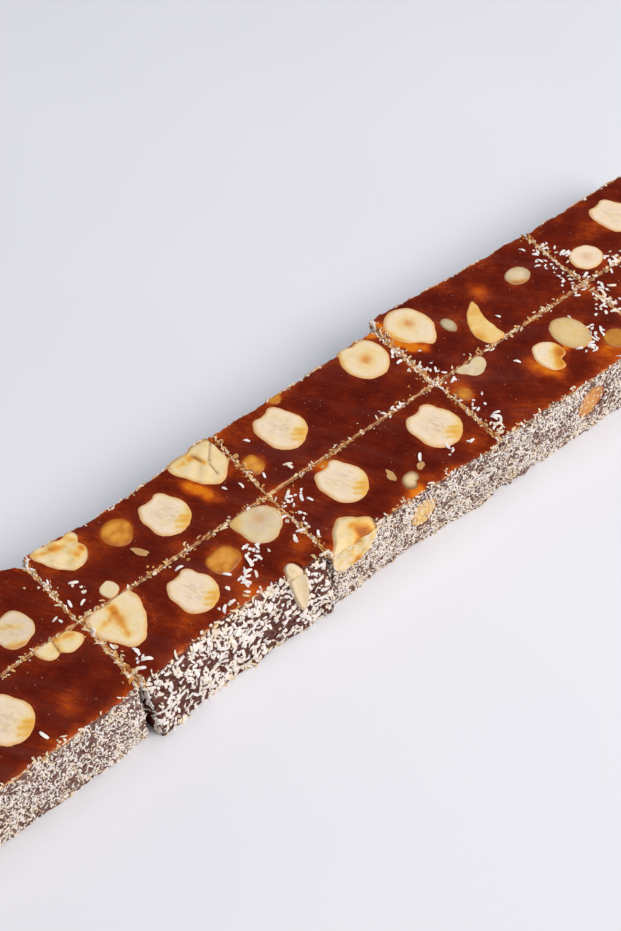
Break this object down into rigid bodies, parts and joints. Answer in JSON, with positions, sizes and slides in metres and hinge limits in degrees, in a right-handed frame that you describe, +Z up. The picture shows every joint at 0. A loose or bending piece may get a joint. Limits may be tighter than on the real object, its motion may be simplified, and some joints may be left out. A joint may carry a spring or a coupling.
{
  "type": "cezerye bar",
  "caption": "Bar of dark carrot jelly knife-cut into slices that still lie together, with cut hazelnut kernels in its top and coconut shreds on its long sides.",
  "frame": {"origin": "on the surface the bar rests on, under the middle of the bar, with the long cut on y = 0", "axes": "+X along the bar, +Y from the front row of slices to the back row, +Z up"},
  "size_m": [0.2513, 0.0494, 0.0196],
  "materials": {
    "jelly": "glossy knife-cut carrot jelly, dark red-brown, amber where it is thin",
    "nut_cream": "satin cut face of a blanched hazelnut",
    "nut_amber": "hazelnut soaked with syrup, amber and slightly glossy",
    "coconut": "dry white coconut shreds"
  },
  "bodies": {
    "root": {"back_slice_1": "jelly", "back_nut_1_block": "nut_cream", "back_nut_1_bitten": "nut_cream", "back_nut_1_amber": "nut_amber", "back_slice_2": "jelly", "back_nut_2_corner_start": "nut_cream", "back_nut_2_amber": "nut_amber", "back_nut_2_bitten": "nut_cream", "back_nut_2_corner_end": "nut_cream", "back_nut_2_chip": "nut_cream", "back_slice_3": "jelly", "back_nut_3_amber": "nut_amber", "back_nut_3_bitten": "nut_cream", "back_nut_3_edge": "nut_amber", "back_nut_3_round": "nut_cream", "back_slice_4": "jelly", "back_nut_4_round": "nut_cream", "back_nut_4_chip": "nut_cream", "back_nut_4_claw": "nut_cream", "back_nut_4_pale": "nut_cream", "back_slice_5": "jelly", "back_nut_5_oval": "nut_cream", "back_nut_5_bitten": "nut_cream", "back_nut_5_wedge": "nut_cream", "front_slice_1": "jelly", "front_nut_1_twin": "nut_cream", "front_nut_1_bitten": "nut_cream", "front_nut_1_oval": "nut_cream", "front_slice_2": "jelly", "front_nut_2_wedge": "nut_cream", "front_nut_2_bitten": "nut_cream", "front_nut_2_amber": "nut_amber", "front_nut_2_flat": "nut_cream", "front_nut_2_rim": "nut_cream", "front_slice_3": "jelly", "front_nut_3_bitten_start": "nut_cream", "front_nut_3_bitten_end": "nut_cream", "front_nut_3_corner": "nut_cream", "front_nut_3_pale": "nut_cream", "front_nut_3_side": "nut_cream", "front_slice_4": "jelly", "front_nut_4_crossing": "nut_cream", "front_nut_4_amber": "nut_amber", "front_nut_4_glowing": "nut_cream", "front_nut_4_olive": "nut_cream", "front_nut_4_end": "nut_amber", "front_nut_4_side": "nut_amber", "front_slice_5": "jelly", "front_nut_5_oval": "nut_cream", "front_nut_5_bitten": "nut_cream", "front_nut_5_amber": "nut_amber"}
  },
  "joints": []
}
